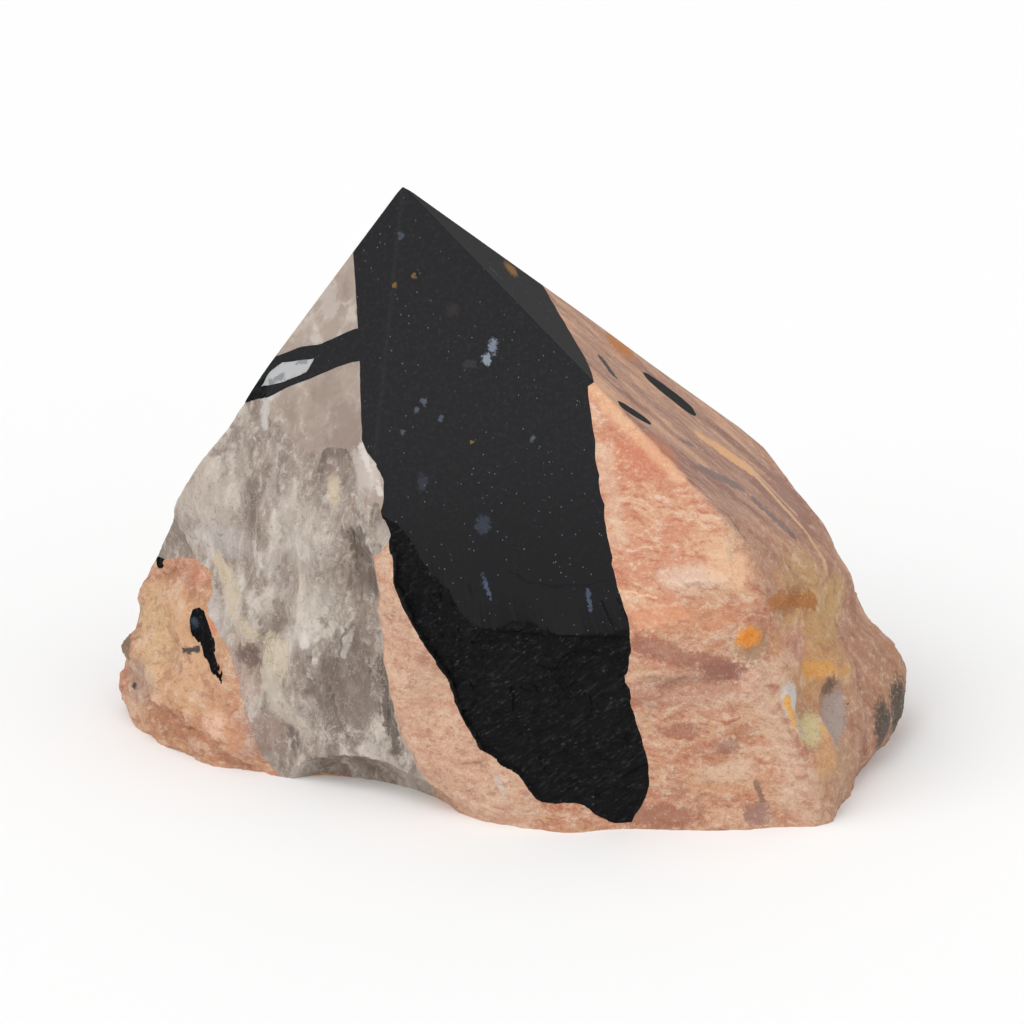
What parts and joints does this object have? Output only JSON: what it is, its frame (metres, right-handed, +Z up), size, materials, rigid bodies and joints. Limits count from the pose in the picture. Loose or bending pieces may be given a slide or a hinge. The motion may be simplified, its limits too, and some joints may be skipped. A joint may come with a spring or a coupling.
{
  "type": "tourmaline crystal specimen",
  "caption": "Mineral specimen: black tourmaline crystal in smoky quartz and feldspar, ground to a faceted point above and rough below, standing on a sawn flat base.",
  "frame": {"origin": "middle of the whole stone's box, on the surface it stands on", "axes": "+Z up, +X along the stone's length to the right seen from the front, +Y to the back; the big crystal's polished face looks along -Y"},
  "size_m": [0.0942, 0.0614, 0.0689],
  "materials": {
    "tourmaline": "black stone, ground and polished on the point, fibrous and sparkling where broken",
    "quartz": "cloudy grey-brown stone, polished on the point, glassy broken surface below",
    "feldspar": "pink-orange stone, polished on the point, dull granular broken surface below"
  },
  "bodies": {
    "root": {"tourmaline_crystal": "tourmaline", "smoky_quartz": "quartz", "feldspar": "feldspar", "tourmaline_needle": "tourmaline", "tourmaline_sliver_near": "tourmaline", "tourmaline_sliver_far": "tourmaline", "tourmaline_chip_left": "tourmaline", "tourmaline_chip_right": "tourmaline"}
  },
  "joints": []
}
